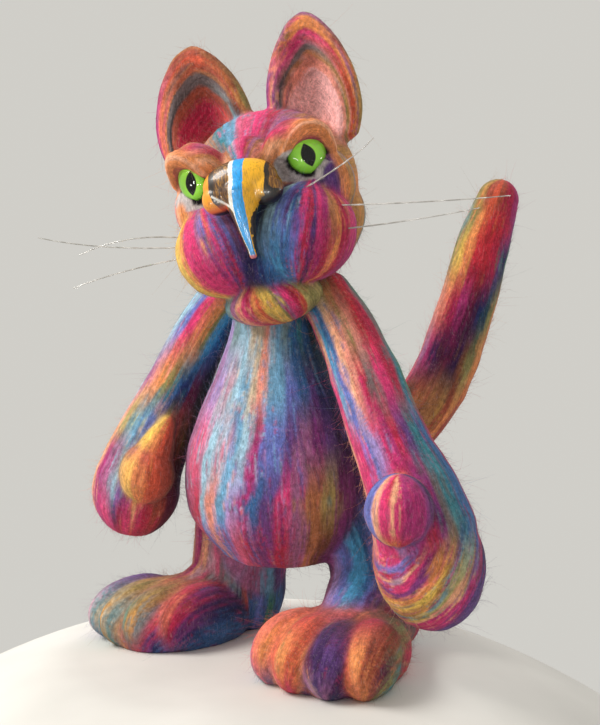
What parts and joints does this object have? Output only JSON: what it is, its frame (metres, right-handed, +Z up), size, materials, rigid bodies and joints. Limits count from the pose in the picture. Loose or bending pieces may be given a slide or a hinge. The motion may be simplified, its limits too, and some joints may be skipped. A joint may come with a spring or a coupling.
{
  "type": "felted wool cat figurine",
  "caption": "Upright needle-felted wool cat with drooping mitten arms, broad toed feet, a raised tail, cupped ears, domed glass eyes and a long glazed nose.",
  "frame": {"origin": "on the floor, under the middle of the whole cat's bounding box, whiskers and tail included", "axes": "+Z up; the body faces -Y and its own left is +X; the head is turned towards its left"},
  "size_m": [0.1586, 0.1568, 0.2276],
  "materials": {
    "dyed_wool": "fuzzy needle-felted wool roving in streaks of pink, orange, blue, purple and green",
    "green_glass": "polished domed glass, green with a black slit pupil",
    "glazed_clay": "painted in upright stripes and gloss varnished",
    "clear_filament": "clear stiff filament"
  },
  "bodies": {
    "root": {"felted_cat": "dyed_wool", "glass_eye_left": "green_glass", "glass_eye_right": "green_glass", "glazed_nose": "glazed_clay", "whisker_left_1": "clear_filament", "whisker_left_2": "clear_filament", "whisker_left_3": "clear_filament", "whisker_right_1": "clear_filament", "whisker_right_2": "clear_filament", "whisker_right_3": "clear_filament"}
  },
  "joints": []
}
